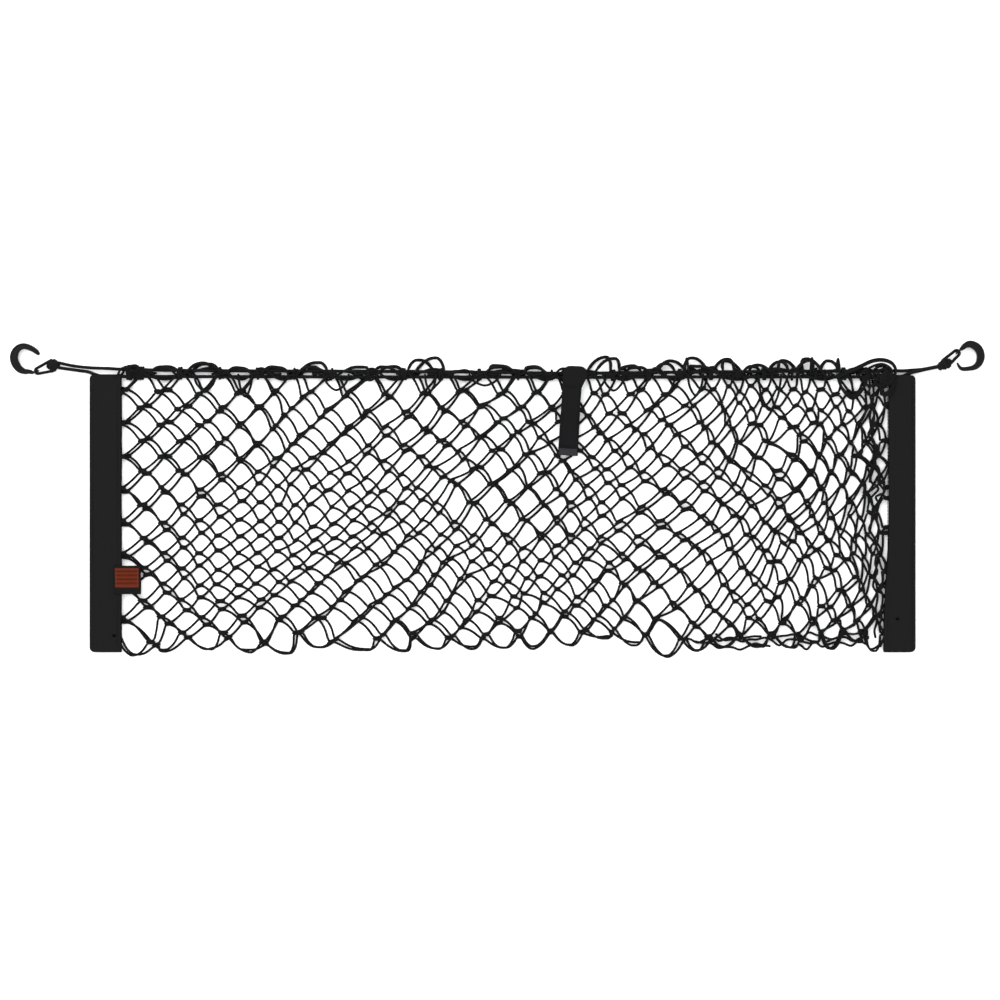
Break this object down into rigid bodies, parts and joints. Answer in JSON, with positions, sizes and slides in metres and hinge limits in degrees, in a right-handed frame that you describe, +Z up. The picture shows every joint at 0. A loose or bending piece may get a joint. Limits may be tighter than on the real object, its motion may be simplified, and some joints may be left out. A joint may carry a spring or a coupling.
{
  "type": "envelope cargo net",
  "caption": "Envelope cargo net: a folded knotless net with webbing side bands, elastic top cords that end in open hooks, and a closure strap over the cords.",
  "frame": {"origin": "centre of the footprint, on the surface that the net lies on", "axes": "+X along the elastic cords, from the left hook to the right hook; +Y from the folded bottom edge to the cords; +Z up from the surface"},
  "size_m": [1.0504, 0.3417, 0.0101],
  "materials": {
    "netting": "knotless polyester netting, black",
    "band_webbing": "woven polypropylene webbing, black",
    "elastic_cord": "braided polyester cover over elastic, black",
    "moulded_hook": "injection moulded nylon, black, satin",
    "strap_tape": "napped hook-and-loop tape, black",
    "patch_tape": "hook tape, dark grey",
    "label_tape": "woven tape, rust red with black borders"
  },
  "bodies": {
    "root": {"net": "netting", "band_left": "band_webbing", "band_right": "band_webbing", "cord_front": "elastic_cord", "cord_back": "elastic_cord", "knot_left": "elastic_cord", "knot_right": "elastic_cord", "loop_left": "elastic_cord", "loop_right": "elastic_cord", "hook_left": "moulded_hook", "hook_right": "moulded_hook", "closure_strap": "strap_tape", "strap_patch": "patch_tape", "label": "label_tape"}
  },
  "joints": []
}
